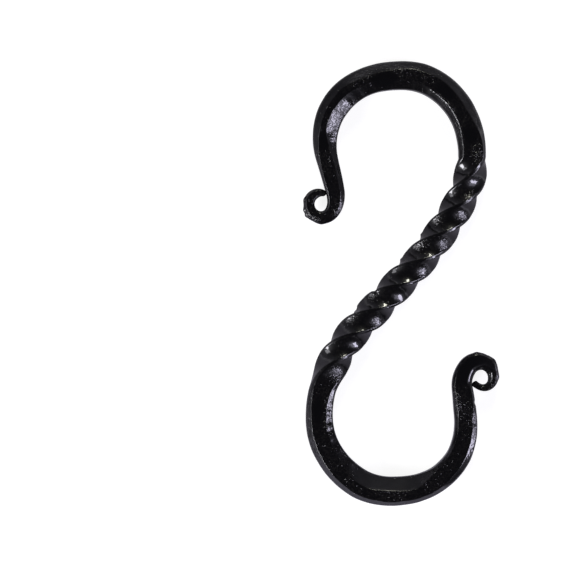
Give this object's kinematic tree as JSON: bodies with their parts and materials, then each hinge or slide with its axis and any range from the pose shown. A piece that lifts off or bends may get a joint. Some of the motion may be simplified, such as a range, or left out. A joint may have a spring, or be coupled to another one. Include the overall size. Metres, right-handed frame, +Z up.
{
  "type": "s hook",
  "caption": "Forged S hook of square bar with a twisted middle, a round bend at each end and small rolled-back curls.",
  "frame": {"origin": "on the surface that the hook lies on, under the middle of the box that holds it", "axes": "+Y along the hook towards its upper bend, +X to the right seen from above, +Z up and square to the plane of the S"},
  "size_m": [0.0672, 0.1528, 0.0111],
  "materials": {
    "black_paint": "gloss black paint over forged steel"
  },
  "bodies": {
    "root": {"s_hook": "black_paint"}
  },
  "joints": []
}
